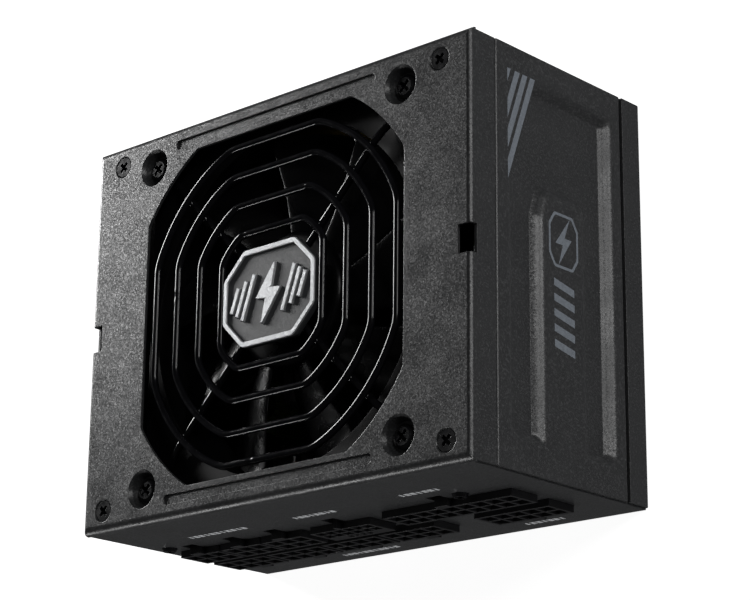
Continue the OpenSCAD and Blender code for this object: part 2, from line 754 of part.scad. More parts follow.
// A housing with two rows of square cells and a latch rib on one side
module cell_socket(s) {
    x = s[0];
    w = socket_w(s[1]);
    low = s[2];
    rib = s[3] > 0 ? low + socket_h : low - latch_rise;
    color("#0d0e0f") difference() {
        union() {
            box_between([x - w / 2, socket_front_y, low], [x + w / 2, socket_back_y, low + socket_h]);
            box_between([x - latch_w / 2, socket_front_y, rib], [x + latch_w / 2, -44, rib + latch_rise]);
        }
        for (c = [0:s[1] - 1], r = [-0.5, 0.5])
            translate([x + (c - (s[1] - 1) / 2) * cell_pitch, 0, low + socket_h / 2 + r * row_pitch])
                box_between([-cell_w / 2, socket_front_y - eps, -cell_w / 2],
                    [cell_w / 2, socket_back_y - 2.8, cell_w / 2]);
    }
}

module socket_18_pin() { cell_socket([main_x, 9, main_row_z, 1]); }
module socket_10_pin() { cell_socket([aux_x, 5, lower_row_z, -1]); }
module socket_6_pin(i) { cell_socket([small_x[i], 3, upper_row_z, 1]); }
module socket_8_pin(i) { cell_socket([medium_x[i], 4, lower_row_z, -1]); }

// The high power socket: twelve cells of 3 mm pitch over four small sense cells
power_pitch = 3;
power_rows = [7.5, 4.5];
sense_row = 1.7;

module socket_16_pin() {
    color("#0d0e0f") difference() {
        union() {
            box_between([power_x - power_w / 2, socket_front_y, upper_row_z],
                [power_x + power_w / 2, socket_back_y, upper_row_z + socket_h]);
            box_between([power_x - 0.6, socket_front_y, upper_row_z + socket_h],
                [power_x + 0.6, -44, upper_row_z + socket_h + latch_rise]);
        }
        for (c = [0:5], r = power_rows)
            translate([power_x + (c - 2.5) * power_pitch, 0, upper_row_z + r])
                box_between([-1.25, socket_front_y - eps, -1.25], [1.25, socket_back_y - 2.8, 1.25]);
        for (c = [0:3]) translate([power_x + (c - 1.5) * 2, 0, upper_row_z + sense_row])
            box_between([-0.7, socket_front_y - eps, -0.8], [0.7, socket_back_y - 2.8, 0.8]);
    }
}

module socket_contacts() {
    pin_front_y = socket_front_y + 1.6;
    pin_back_y = socket_back_y - 2.8;
    color("lightgray") {
        for (s = cell_sockets, c = [0:s[1] - 1], r = [-0.5, 0.5])
            translate([s[0] + (c - (s[1] - 1) / 2) * cell_pitch, 0, s[2] + socket_h / 2 + r * row_pitch])
                box_between([-0.55, pin_front_y, -0.55], [0.55, pin_back_y, 0.55]);
        for (c = [0:5], r = power_rows)
            translate([power_x + (c - 2.5) * power_pitch, 0, upper_row_z + r])
                box_between([-0.45, pin_front_y, -0.45], [0.45, pin_back_y, 0.45]);
        for (c = [0:3]) translate([power_x + (c - 1.5) * 2, 0, upper_row_z + sense_row])
            box_between([-0.3, pin_front_y, -0.3], [0.3, pin_back_y, 0.3]);
    }
}

module modular_board() {
    color("darkgreen") box_between([-58.5, socket_back_y, board_top_z],
        [57, socket_back_y + board_t, 42.8]);
}

module bus_bars() {
    rear = socket_back_y + board_t;
    color("peru") for (x = [-25, 0, 25]) {
        box_between([x - 6, rear, board_top_z], [x + 6, rear + 6, board_top_z + 1.2]);
        box_between([x - 6, rear, board_top_z], [x + 6, rear + 1.2, board_top_z + 9]);
    }
}

// ---------- main board ----------

module main_board() {
    color("darkgreen") difference() {
        box_between([-56.5, -34, board_low_z], [56.5, 47.5, board_top_z]);
        for (p = standoff_xy) translate([p[0], p[1], board_low_z - eps]) cylinder(r = 1.25, h = board_t + 1);
    }
}

module board_standoffs() {
    color("goldenrod") for (p = standoff_xy) translate([p[0], p[1], 0]) difference() {
        union() {
            translate([0, 0, sheet]) cylinder(r = 3, h = board_low_z - sheet, $fn = 6);
            translate([0, 0, 0.1]) cylinder(r = 1.25, h = 1);
        }
        translate([0, 0, 1.6]) cylinder(r = 1.25, h = 6);
    }
}

module board_screws() {
    color("silver") for (p = standoff_xy) translate([p[0], p[1], board_top_z]) difference() {
        union() {
            cylinder(r1 = 2.7, r2 = 2.1, h = 1.6);
            translate([0, 0, -4.6]) cylinder(r = 1.25, h = 5);
        }
        translate([0, 0, 1.6]) cross_recess(3, 1);
    }
}

module bulk_capacitor() {
    color("#1d2a44") translate([-42, 27, board_top_z]) rotate_extrude()
        polygon([[0, 0], [12.2, 0], [13, 0.8], [13, 2.2], [12.4, 2.8], [13, 3.4], [13, 32.6], [12.4, 33.2],
            [10.8, 33.2], [10.6, 32.6], [0, 32.6]]);
}

module transformer_core() {
    color("#2c2c2e") translate([14, -5, board_top_z]) difference() {
        box_between([-14, -8, 4], [14, 8, 30]);
        box_between([-10, -9, 8], [-4.5, 9, 26]);
        box_between([4.5, -9, 8], [10, 9, 26]);
    }
}

module transformer_winding() {
    color("khaki") translate([14, -5, board_top_z]) difference() {
        union() {
            box_between([-10, -13, 8], [10, 13, 26]);
            box_between([-13, -13, 0], [13, 13, 4]);
            box_between([-9, -13, 4], [9, -8.4, 8]);
            box_between([-9, 8.4, 4], [9, 13, 8]);
        }
        box_between([-4.5, -8, 7], [4.5, 8, 27]);
    }
}

module pfc_choke() {
    color("khaki") translate([-17, 36, board_top_z]) {
        box_between([-10, -10, 0], [10, 10, 3]);
        box_between([-10, -8, 3], [10, 8, 7]);
        cylinder(r = 9.6, h = 30);
        box_between([-10, -8, 29], [10, 8, 33.6]);
    }
}

module line_choke() {
    color("olivedrab") translate([19, 21.5, board_top_z + 11]) rotate([0, 90, 0]) {
        difference() {
            cylinder(r = 10, h = 8, center = true);
            cylinder(r = 4.4, h = 9, center = true);
        }
        for (a = [0:30:330]) rotate(a) translate([7.2, 0, 0]) cube([6.4, 1.4, 9], center = true);
    }
    color("olivedrab") box_between([14, 12, board_top_z], [24, 31, board_top_z + 2]);
}

module rectifier() {
    color("#1a1a1c") {
        box_between([26, 21, board_top_z + 3], [46, 24.4, board_top_z + 20]);
        for (i = [0:3]) translate([29 + 4.7 * i, 22.7, board_top_z]) cylinder(r = 0.6, h = 4, $fn = 24);
    }
}

// A finned plate: the back is at x0, and the fins reach towards +X or -X
module finned_plate(x0, y0, y1, h, dir) {
    back = 2.4;
    reach = 11;
    translate([x0, 0, board_top_z]) {
        box_between([min(0, dir * back), y0, 0], [max(0, dir * back), y1, h]);
        for (z = [3:4:h - 1])
            box_between([min(0, dir * reach), y0, z], [max(0, dir * reach), y1, z + 1.2]);
    }
}

// One for the transistors of the primary side, and one for those of the output side
module heatsinks() {
    color("silver") {
        finned_plate(-19.5, -18, 22, 31, 1);
        finned_plate(45, -18, 12, 27, -1);
    }
}

module power_transistors() {
    color("#1a1a1c") {
        for (y = [-12, 0]) box_between([-24, y - 5, board_top_z + 9], [-19.5, y + 5, board_top_z + 24]);
        for (y = [-12, 0], s = [-1, 0, 1]) translate([-21.8, y + 2.54 * s, board_top_z])
            cylinder(r = 0.5, h = 9.5, $fn = 24);
        for (y = [-12, -1]) box_between([45, y - 4, board_top_z + 8], [48, y + 4, board_top_z + 20]);
        for (y = [-12, -1], s = [-1, 0, 1]) translate([46.5, y + 2.54 * s, board_top_z])
            cylinder(r = 0.5, h = 8.5, $fn = 24);
    }
}

module output_capacitors() {
    color("lightsteelblue") for (i = [0:8]) translate([-38 + 10 * i, -26, board_top_z]) rotate_extrude()
        polygon([[0, 0], [3.8, 0], [4, 0.3], [4, 1.4], [3.6, 1.8], [4, 2.2], [4, 11.6], [3.6, 12], [0, 12]]);
}

module output_chokes() {
    color("darkkhaki") for (x = [-47, -32.5]) translate([x, -10, board_top_z]) difference() {
        union() {
            cylinder(r = 6.6, h = 8);
            for (a = [0:30:330]) rotate(a) translate([4.9, 0, 4.5]) cube([4.2, 1.4, 9], center = true);
        }
        translate([0, 0, -1]) cylinder(r = 3, h = 11);
    }
}

module converter_boards() {
    color("darkgreen") for (y = [0.5, 7]) {
        box_between([-55, y, board_top_z], [-28, y + 1.6, board_top_z + 25]);
        for (x = [-51, -42, -33])
            box_between([x - 2.5, y + 1.6, board_top_z + 12], [x + 2.5, y + 3, board_top_z + 18]);
    }
}

module fuse() {
    color("tan") translate([53, 14, board_top_z + 3.6]) rotate([-90, 0, 0]) {
        cylinder(r = 2.6, h = 20);
        for (y = [0, 15]) translate([0, 0, y]) cylinder(r = 3, h = 5);
    }
}

cover();
side_panel_right();
side_panel_left();
base_tray();
front_panel();
rear_panel();
wall_angles();
cover_screws();
tray_rivets();
panel_screws();
board_brackets();
spec_label();
insulating_sheet();
fan_grille();
badge_plate();
badge_field();
badge_emblem();
fan_frame();
fan_screws();
fan_rotor();
rotor_magnet();
fan_shaft();
fan_bearing();
stator_core();
stator_coils();
fan_cable();
ac_inlet();
inlet_pins();
switch_housing();
switch_rocker();
switch_terminals();
mains_leads();
modular_board();
socket_18_pin();
socket_10_pin();
for (i = [0:len(SOCKETS_6) - 1]) socket_6_pin(i);
for (i = [0:len(SOCKETS_8) - 1]) socket_8_pin(i);
socket_16_pin();
socket_contacts();
bus_bars();
main_board();
board_standoffs();
board_screws();
bulk_capacitor();
transformer_core();
transformer_winding();
pfc_choke();
line_choke();
rectifier();
heatsinks();
power_transistors();
output_capacitors();
output_chokes();
converter_boards();
fuse();
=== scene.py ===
import json
import math

import bmesh
import bpy
from mathutils import Matrix, Vector


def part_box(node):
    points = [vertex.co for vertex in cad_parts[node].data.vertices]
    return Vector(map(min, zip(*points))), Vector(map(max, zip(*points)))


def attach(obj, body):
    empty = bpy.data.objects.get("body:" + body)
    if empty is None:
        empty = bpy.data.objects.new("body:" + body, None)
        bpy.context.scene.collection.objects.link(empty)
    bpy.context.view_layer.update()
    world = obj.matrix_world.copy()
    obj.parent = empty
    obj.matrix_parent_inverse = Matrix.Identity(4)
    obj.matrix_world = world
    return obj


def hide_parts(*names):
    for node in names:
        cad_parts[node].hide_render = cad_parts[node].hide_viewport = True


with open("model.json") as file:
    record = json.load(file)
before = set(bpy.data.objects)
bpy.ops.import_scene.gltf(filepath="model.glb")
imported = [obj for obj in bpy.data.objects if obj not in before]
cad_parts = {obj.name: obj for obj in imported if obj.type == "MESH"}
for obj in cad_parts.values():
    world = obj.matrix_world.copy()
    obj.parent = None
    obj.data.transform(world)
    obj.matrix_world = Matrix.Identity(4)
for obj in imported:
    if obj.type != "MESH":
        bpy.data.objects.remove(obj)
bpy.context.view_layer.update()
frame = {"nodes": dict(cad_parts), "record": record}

# The pieces are laid out in millimetres and turned into metres when a mesh is made. The camera, the
# lights and the floor are in metres.
MM = 0.001
CASE = "case"
ROTOR = "rotor"
ROCKER = "rocker"


def box_mm(node):
    """The lowest and highest corner of a CAD node, in millimetres."""
    low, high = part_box(node)
    return low / MM, high / MM


wall_low = box_mm("front_panel")[0]
panel_high = box_mm("side_panel_right")[1]
grille_low, grille_high = box_mm("fan_grille")
rotor_low, rotor_high = box_mm("fan_rotor")
badge_low, badge_high = box_mm("badge_plate")
rocker_low, rocker_high = box_mm("switch_rocker")
case_top = box_mm("cover")[1].z


# ---------- camera, light and floor ----------

def add_camera():
    """The camera looks down on the fan face, rolled so that the mains end is at the top."""
    eye = Vector((0.3712, -0.1668, 0.4328))
    aim = Vector((0.0041, 0.0051, 0.0306))
    upward = Vector((0.1955, 0.9535, 0.2292))
    back = (eye - aim).normalized()
    right = upward.cross(back).normalized()
    place = Matrix((right, back.cross(right), back)).transposed().to_4x4()
    place.translation = eye
    data = bpy.data.cameras.new("camera")
    data.sensor_width = 36
    data.lens = 112.4
    data.clip_start = 0.01
    data.clip_end = 30
    camera = bpy.data.objects.new("camera", data)
    camera.matrix_world = place
    bpy.context.scene.collection.objects.link(camera)
    bpy.context.scene.camera = camera


def add_softbox(name, place, aim, size, power, tint=(1, 1, 1)):
    """A rectangular soft light at place, turned to aim."""
    data = bpy.data.lights.new(name, "AREA")
    data.shape = "RECTANGLE"
    data.size, data.size_y = size
    data.energy = power
    data.color = tint
    light = bpy.data.objects.new(name, data)
    light.location = place
    light.rotation_euler = (Vector(aim) - Vector(place)).to_track_quat("-Z", "Y").to_euler()
    light.visible_camera = False
    bpy.context.scene.collection.objects.link(light)


def add_studio():
    middle = (0, 0, 0.06)
    # Low behind the far left corner: it grazes the fan face, which fades away from that corner
    add_softbox("key", (-0.695, 0.342, 0.262), middle, (0.24, 0.24), 5.8)
    # Faces the upward walls of the pressed side
    add_softbox("side_box", (0.8, 0.3, 0.58), middle, (0.28, 0.28), 2.2)
    # Two low strips, which draw thin lines along the wires and the bends
    add_softbox("side_strip", (0.89, 0.285, 0.174), middle, (0.3, 0.04), 1.6)
    add_softbox("front_strip", (-0.61, -0.71, 0.174), middle, (0.34, 0.04), 2.0)
    world = bpy.data.worlds.new("studio")
    world.use_nodes = True
    back = world.node_tree.nodes["Background"]
    back.inputs["Color"].default_value = (1, 1, 1, 1)
    back.inputs["Strength"].default_value = 0.045
    bpy.context.scene.world = world
    bpy.context.scene.view_settings.view_transform = "Standard"


def add_floor():
    half = 4.0
    mesh = bpy.data.meshes.new("floor")
    corners = [(-half, -half, 0), (half, -half, 0), (half, half, 0), (-half, half, 0)]
    mesh.from_pydata(corners, [], [(0, 1, 2, 3)])
    finish = make_material("floor", (0.5, 0.5, 0.5), 0.7, specular=0.1, tone=0.02, tone_size=60,
                           grain=0.05, grain_size=2, bevel=0)
    # The pale floor is lit evenly, so it glows a little instead of needing a light of its own
    shader = finish.node_tree.nodes["Principled BSDF"]
    shader.inputs["Emission Color"].default_value = (1, 1, 1, 1)
    shader.inputs["Emission Strength"].default_value = 0.93
    mesh.materials.append(finish)
    floor = bpy.data.objects.new("floor", mesh)
    floor.visible_glossy = False
    bpy.context.scene.collection.objects.link(floor)


# ---------- materials ----------

# Size of one speck of the powder coat, in millimetres
FACET_SIZE = 0.28


def make_material(name, color, rough, metallic=0.0, specular=0.5, coat=0.0, tone=0.15, tone_size=6.0,
                  grain=0.2, grain_size=0.4, painted_glint=0.0, facets=0.0, edge=0.0, bevel=0.15, brushed=None,
                  second=None):
    """A procedural finish. Sizes are in millimetres.

    tone: how much the colour drifts over tone_size; grain: bump height, as a share of grain_size / 10;
    painted_glint: painted glints, how much lighter the high points of the grain are painted;
    facets: how far each speck of the powder coat leans away from the surface; edge: how much lighter worn
    edges are;
    bevel: radius that sharp edges are rounded by; brushed: the axis along which the grain is drawn out;
    second: another colour that the tone noise blends in.
    """
    material = bpy.data.materials.new(name)
    material.use_nodes = True
    tree = material.node_tree
    shader = tree.nodes["Principled BSDF"]
    shader.inputs["Metallic"].default_value = metallic
    shader.inputs["Specular IOR Level"].default_value = specular
    shader.inputs["Coat Weight"].default_value = coat
    shader.inputs["Coat Roughness"].default_value = 0.12

    def add(kind, **values):
        node = tree.nodes.new(kind)
        for key, value in values.items():
            setattr(node, key, value)
        return node

    def join(out_socket, in_socket):
        tree.links.new(out_socket, in_socket)

    place = add("ShaderNodeTexCoord").outputs["Object"]

    def noise(size, detail=2.0, stretch=None):
        source = place
        if stretch:
            mapping = add("ShaderNodeMapping")
            mapping.inputs["Scale"].default_value = [0.04 if axis == stretch else 1.0 for axis in "xyz"]
            join(place, mapping.inputs["Vector"])
            source = mapping.outputs["Vector"]
        texture = add("ShaderNodeTexNoise")
        texture.inputs["Scale"].default_value = 1 / (size * MM)
        texture.inputs["Detail"].default_value = detail
        join(source, texture.inputs["Vector"])
        return texture.outputs["Fac"]

    def spread(value, low, high, from_low=0.3, from_high=0.7):
        ranged = add("ShaderNodeMapRange")
        ranged.inputs["From Min"].default_value = from_low
        ranged.inputs["From Max"].default_value = from_high
        ranged.inputs["To Min"].default_value = low
        ranged.inputs["To Max"].default_value = high
        join(value, ranged.inputs["Value"])
        return ranged.outputs["Result"]

    def blend(factor, first, other):
        mix = add("ShaderNodeMix", data_type="RGBA")
        join(factor, mix.inputs["Factor"])
        for socket, value in ((mix.inputs["A"], first), (mix.inputs["B"], other)):
            if isinstance(value, bpy.types.NodeSocket):
                join(value, socket)
            else:
                socket.default_value = (*value, 1)
        return mix.outputs["Result"]

    fine = noise(grain_size, 3.0, brushed)
    broad = noise(tone_size, 4.0)
    darker = [c * (1 - tone) for c in color]
    lighter = second or [min(1.0, c * (1 + tone)) for c in color]
    painted = blend(spread(broad, 0, 1), darker, lighter)
    # Painted glints: where the grain is highest the colour is painted lighter, standing in for glints on the
    # powder coat
    if painted_glint:
        painted_glint_color = [min(1.0, c * (1 + painted_glint) + 0.02 * painted_glint) for c in color]
        painted = blend(spread(fine, 0, 1, 0.5, 0.72), painted, painted_glint_color)
    if bevel:
        rounded = add("ShaderNodeBevel", samples=4)
        rounded.inputs["Radius"].default_value = bevel * MM
        normal = rounded.outputs["Normal"]
    else:
        normal = None
    if edge and bevel:
        true_normal = add("ShaderNodeNewGeometry").outputs["Normal"]
        dot = add("ShaderNodeVectorMath", operation="DOT_PRODUCT")
        join(normal, dot.inputs[0])
        join(true_normal, dot.inputs[1])
        worn = [min(1.0, c * 2.2 + 0.05) for c in color]
        painted = blend(spread(dot.outputs["Value"], edge, 0, 0.75, 0.98), painted, worn)
    join(painted, shader.inputs["Base Color"])
    join(spread(broad, max(0.02, rough - 0.05), min(1, rough + 0.05)), shader.inputs["Roughness"])
    if facets:
        # Every cell of the Voronoi texture is one speck, with a random lean of its own
        cells = add("ShaderNodeTexVoronoi")
        cells.inputs["Scale"].default_value = 1 / (FACET_SIZE * MM)
        join(place, cells.inputs["Vector"])
        centred = add("ShaderNodeVectorMath", operation="SUBTRACT")
        centred.inputs[1].default_value = (0.5, 0.5, 0.5)
        join(cells.outputs["Color"], centred.inputs[0])
        lean = add("ShaderNodeVectorMath", operation="SCALE")
        lean.inputs["Scale"].default_value = facets
        join(centred.outputs["Vector"], lean.inputs[0])
        leaning = add("ShaderNodeVectorMath", operation="ADD")
        join(normal or add("ShaderNodeNewGeometry").outputs["Normal"], leaning.inputs[0])
        join(lean.outputs["Vector"], leaning.inputs[1])
        unit = add("ShaderNodeVectorMath", operation="NORMALIZE")
        join(leaning.outputs["Vector"], unit.inputs[0])
        normal = unit.outputs["Vector"]
    bump = add("ShaderNodeBump")
    bump.inputs["Strength"].default_value = 1.0
    bump.inputs["Distance"].default_value = grain * grain_size / 10 * MM
    join(fine, bump.inputs["Height"])
    if normal:
        join(normal, bump.inputs["Normal"])
    join(bump.outputs["Normal"], shader.inputs["Normal"])
    return material


# The finish of each material slot of the record, and of the two inks
FINISHES = {
    "case_paint": dict(color=(0.0225, 0.023, 0.024), rough=0.35, specular=0.5, tone=0.05, tone_size=9,
                       grain=0.4, grain_size=0.5, painted_glint=0.6, facets=0.13, edge=0.3, bevel=0.2),
    "black_screw": dict(color=(0.005, 0.005, 0.006), rough=0.26, specular=0.3, tone=0.3, tone_size=2,
                        grain=0.4, grain_size=0.25, edge=0, bevel=0.08),
    "zinc_steel": dict(color=(0.55, 0.54, 0.5), rough=0.32, metallic=1, second=(0.62, 0.6, 0.5),
                       tone_size=3, grain=0.2, grain_size=0.3, bevel=0.12),
    "label_film": dict(color=(0.5, 0.51, 0.52), rough=0.38, tone=0.05, grain=0.1, grain_size=0.6,
                       bevel=0.05),
    "clear_film": dict(color=(0.62, 0.6, 0.5), rough=0.25, tone=0.08, grain=0.1, grain_size=1.5, bevel=0.1),
    "grille_gloss": dict(color=(0.004, 0.004, 0.005), rough=0.14, specular=0.2, tone=0.2, tone_size=3,
                         grain=0.03, grain_size=0.7, bevel=0),
    "badge_metal": dict(color=(0.55, 0.56, 0.57), rough=0.55, metallic=0.8, tone=0.06, tone_size=0.8,
                        grain=0.5, grain_size=0.4, facets=0.12, bevel=0),
    "badge_paint": dict(color=(0.045, 0.047, 0.05), rough=0.5, tone=0.1, tone_size=1.2,
                        grain=0.5, grain_size=0.4, facets=0.06, bevel=0),
    "fan_plastic": dict(color=(0.003, 0.003, 0.0035), rough=0.5, specular=0.18, tone=0.2, grain=0.4,
                        grain_size=0.35, bevel=0.2),
    "rotor_plastic": dict(color=(0.003, 0.003, 0.0035), rough=0.27, specular=0.2, tone=0.2, tone_size=8,
                          grain=0.3, grain_size=0.5, bevel=0),
    "magnet": dict(color=(0.05, 0.045, 0.04), rough=0.7, grain=0.6, grain_size=0.3),
    "ground_steel": dict(color=(0.6, 0.6, 0.61), rough=0.2, metallic=1, grain=0.2, grain_size=0.2,
                         brushed="z"),
    "bronze": dict(color=(0.5, 0.31, 0.14), rough=0.4, metallic=1, grain=0.6, grain_size=0.25),
    "core_steel": dict(color=(0.32, 0.33, 0.35), rough=0.4, metallic=1, grain=1.2, grain_size=0.35,
                       bevel=0.05),
    "copper_wire": dict(color=(0.5, 0.19, 0.07), rough=0.3, metallic=0.9, grain=2.5, grain_size=0.35,
                        brushed="x", coat=0.4),
    "cable_black": dict(color=(0.012, 0.012, 0.012), rough=0.5, grain=0.3, grain_size=0.3),
    "inlet_plastic": dict(color=(0.012, 0.012, 0.013), rough=0.4, tone=0.2, grain=0.8, grain_size=0.3,
                          edge=0.25, bevel=0.25),
    "rocker_plastic": dict(color=(0.012, 0.012, 0.013), rough=0.22, tone=0.2, grain=0.1, grain_size=0.6,
                           bevel=0.3),
    "tinned_brass": dict(color=(0.6, 0.59, 0.55), rough=0.24, metallic=1, second=(0.66, 0.6, 0.46),
                         tone_size=2, grain=0.3, grain_size=0.2, bevel=0.12),
    "lead_insulation": dict(color=(0.3, 0.03, 0.02), rough=0.35, grain=0.2, grain_size=0.4),
    "circuit_board": dict(color=(0.02, 0.09, 0.045), rough=0.3, second=(0.03, 0.15, 0.07), tone_size=2.5,
                          grain=0.6, grain_size=0.8, coat=0.3, bevel=0.05),
    "socket_plastic": dict(color=(0.009, 0.009, 0.01), rough=0.4, specular=0.4, tone=0.25, tone_size=3,
                           grain=0.7, grain_size=0.3, edge=0.35, bevel=0.12),
    "copper_bar": dict(color=(0.55, 0.24, 0.11), rough=0.28, metallic=1, second=(0.4, 0.2, 0.12),
                       tone_size=3, grain=0.3, grain_size=0.3, brushed="x"),
    "brass_standoff": dict(color=(0.6, 0.44, 0.17), rough=0.28, metallic=1, grain=0.4, grain_size=0.2,
                           brushed="x"),
    "capacitor_sleeve": dict(color=(0.02, 0.035, 0.09), rough=0.3, grain=0.3, grain_size=1.2, coat=0.3),
    "ferrite": dict(color=(0.04, 0.04, 0.043), rough=0.55, grain=0.8, grain_size=0.3, edge=0.3),
    "winding_tape": dict(color=(0.42, 0.28, 0.03), rough=0.25, second=(0.55, 0.38, 0.06), tone_size=5,
                         grain=1.2, grain_size=1.6, coat=0.3),
    "choke_coating": dict(color=(0.15, 0.2, 0.07), rough=0.35, grain=1.2, grain_size=0.5, coat=0.4),
    "package_black": dict(color=(0.016, 0.016, 0.018), rough=0.45, grain=0.7, grain_size=0.25),
    "bare_aluminium": dict(color=(0.55, 0.55, 0.56), rough=0.35, metallic=1, grain=0.6, grain_size=0.3,
                           brushed="y", bevel=0.1),
    "ceramic_body": dict(color=(0.5, 0.44, 0.34), rough=0.5, grain=0.4, grain_size=0.4),
    "print_ink": dict(color=(0.12, 0.135, 0.155), rough=0.42, tone=0.12, tone_size=0.8, grain=1.2,
                      grain_size=0.42, bevel=0),
    "label_ink": dict(color=(0.4, 0.41, 0.42), rough=0.5, tone=0.2, tone_size=0.6, grain=0.8,
                      grain_size=0.3, bevel=0),
}
materials = {name: make_material(name, **look) for name, look in FINISHES.items()}


def finish_cad_nodes():
    for part in frame["record"]["subparts"]:
        piece = frame["nodes"][part["node"]]
        piece.data.materials.clear()
        piece.data.materials.append(materials[part["material_slot"]])


# ---------- mesh helpers ----------

def make_piece(name, points, faces, slot, body=CASE, replaces=(), smooth=None, finish=None):
    """A mesh piece from points in millimetres. Edges of up to smooth degrees look round."""
    mesh = bpy.data.meshes.new(name)
    mesh.from_pydata([Vector(p) * MM for p in points], [], faces)
    mesh.validate()
    shape = bmesh.new()
    shape.from_mesh(mesh)
    bmesh.ops.remove_doubles(shape, verts=shape.verts, dist=1e-7)
    bmesh.ops.recalc_face_normals(shape, faces=shape.faces)
    shape.to_mesh(mesh)
    shape.free()
    place_mesh(name, mesh, slot, body, replaces, smooth, finish)


def place_mesh(name, mesh, slot, body=CASE, replaces=(), smooth=None, finish=None):
    """Puts a mesh in the scene, painted with the finish of a slot of the record or with another."""
    if smooth is not None:
        mesh.shade_smooth()
        mesh.set_sharp_from_angle(angle=math.radians(smooth))
    mesh.materials.append(materials[finish or slot])
    piece = bpy.data.objects.new(name, mesh)
    bpy.context.scene.collection.objects.link(piece)
    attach(piece, body)
    if replaces:
        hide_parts(*replaces)


def join_parts(*parts):
    """One list of points and faces from several (points, faces) pairs."""
    points, faces = [], []
    for more_points, more_faces in parts:
        start = len(points)
        points += [tuple(p) for p in more_points]
        faces += [tuple(start + i for i in face) for face in more_faces]
    return points, faces


def tube(path, radius, closed=False, sides=14, plane=Vector((0, 0, 1))):
    """A round wire along a path whose bends lie in the plane with that normal.

    radius is a function of the index of a point.
    """
    count = len(path)
    points, faces = [], []
    for i in range(count):
        ahead = path[(i + 1) % count] if closed or i < count - 1 else path[i]
        behind = path[i - 1] if closed or i > 0 else path[i]
        across = (ahead - behind).normalized().cross(plane).normalized()
        upward = across.cross((ahead - behind).normalized())
        for k in range(sides):
            a = 2 * math.pi * k / sides
            points.append(path[i] + radius(i) * (math.cos(a) * across + math.sin(a) * upward))
    for i in range(count if closed else count - 1):
        j = (i + 1) % count
        for k in range(sides):
            m = (k + 1) % sides
            faces.append((i * sides + k, i * sides + m, j * sides + m, j * sides + k))
    if not closed:
        faces.append(tuple(range(sides - 1, -1, -1)))
        faces.append(tuple(range((count - 1) * sides, count * sides)))
    return points, faces


def revolve(profile, steps=96):
    """A surface of revolution about Z from (radius, height) pairs. A radius of 0 closes it."""
    points, faces = [], []
    for r, z in profile:
        for k in range(steps):
            a = 2 * math.pi * k / steps
            points.append((r * math.cos(a), r * math.sin(a), z))
    for i in range(len(profile) - 1):
        for k in range(steps):
            m = (k + 1) % steps
            faces.append((i * steps + k, i * steps + m, (i + 1) * steps + m, (i + 1) * steps + k))
    return points, faces


def arc(centre, radius, first, last, steps):
    """Points of a flat arc, from angle first to last, in degrees."""
    angles = [math.radians(first + (last - first) * i / steps) for i in range(steps + 1)]
    return [(centre[0] + radius * math.cos(a), centre[1] + radius * math.sin(a)) for a in angles]


def turned(points, degrees):
    c, s = math.cos(math.radians(degrees)), math.sin(math.radians(degrees))
    return [(x * c - y * s, x * s + y * c) for x, y in points]


def rounded(corners, radius, steps=5):
    """The outline of a polygon with its corners rounded, whatever way they turn."""
    outline = []
    count = len(corners)
    for i in range(count):
        here = Vector(corners[i])
        before = (Vector(corners[i - 1]) - here).normalized()
        after = (Vector(corners[(i + 1) % count]) - here).normalized()
        half = before.angle(after) / 2
        back = radius / math.tan(half)
        middle = here + (before + after).normalized() * radius / math.sin(half)
        start = here + before * back - middle
        swing = (here + after * back - middle).angle(start)
        sign = 1 if start.x * after.y - start.y * after.x > 0 else -1
        for k in range(steps + 1):
            a = sign * swing * k / steps
            outline.append((middle.x + start.x * math.cos(a) - start.y * math.sin(a),
                            middle.y + start.x * math.sin(a) + start.y * math.cos(a)))
    return outline


def raised(outlines, low, high, bevel, segments=2):
    """Flat outlines raised from low to high, with their upper edges rounded, as points and faces."""
    shape = bmesh.new()
    for outline in outlines:
        face = shape.faces.new([shape.verts.new((x, y, low)) for x, y in outline])
        top = bmesh.ops.extrude_face_region(shape, geom=[face])
        corners = [v for v in top["geom"] if isinstance(v, bmesh.types.BMVert)]
        bmesh.ops.translate(shape, verts=corners, vec=(0, 0, high - low))
    bmesh.ops.recalc_face_normals(shape, faces=shape.faces)
    if bevel:
        upper = [e for e in shape.edges if all(abs(v.co.z - high) < 1e-6 for v in e.verts)]
        bmesh.ops.bevel(shape, geom=upper, offset=bevel, segments=segments, profile=0.5, affect="EDGES")
    points = [tuple(v.co) for v in shape.verts]
    shape.verts.index_update()
    faces = [tuple(v.index for v in f.verts) for f in shape.faces]
    shape.free()
    return points, faces


# ---------- grille ----------

WIRE_R = 0.9
# Each ring's reach along its flats and along its diagonals
RING_SIZES = [(39.6, 42.2), (32.1, 34.9), (24.2, 27.1), (16.6, 19.6)]
# The angle at which each ring's wire is butt welded, in degrees
RING_WELDS = [-92, 178, 86, 93]
# The groove of a butt weld, by depth and width, and the swelling beside it, by height, place and width
GROOVE_D, GROOVE_W = 0.1, 0.5
SWELL_H, SWELL_AT, SWELL_W = 0.04, 1.2, 0.6
FAN_SCREW_HEAD_R = 2.95


def clipped_circle(flat, big, corner):
    """A circle cut by four flats, with rounded corners, as the points of a closed path."""
    c = flat - corner
    s = math.sqrt((big - corner) ** 2 - c * c)
    bend = math.degrees(math.atan2(s, c))
    quarter = arc((c, s), corner, 0, bend, 8) + arc((0, 0), big, bend, 90 - bend, 22)[1:]
    quarter += arc((s, c), corner, 90 - bend, 90, 8)[1:]
    return [p for turn in range(4) for p in turned(quarter, 90 * turn)]


def evenly(path, step):
    """The points of a closed flat path again, about one step apart."""
    dense = []
    for (x0, y0), (x1, y1) in zip(path, path[1:] + path[:1]):
        parts = max(1, round(math.hypot(x1 - x0, y1 - y0) / step))
        dense += [(x0 + (x1 - x0) * i / parts, y0 + (y1 - y0) * i / parts) for i in range(parts)]
    return dense


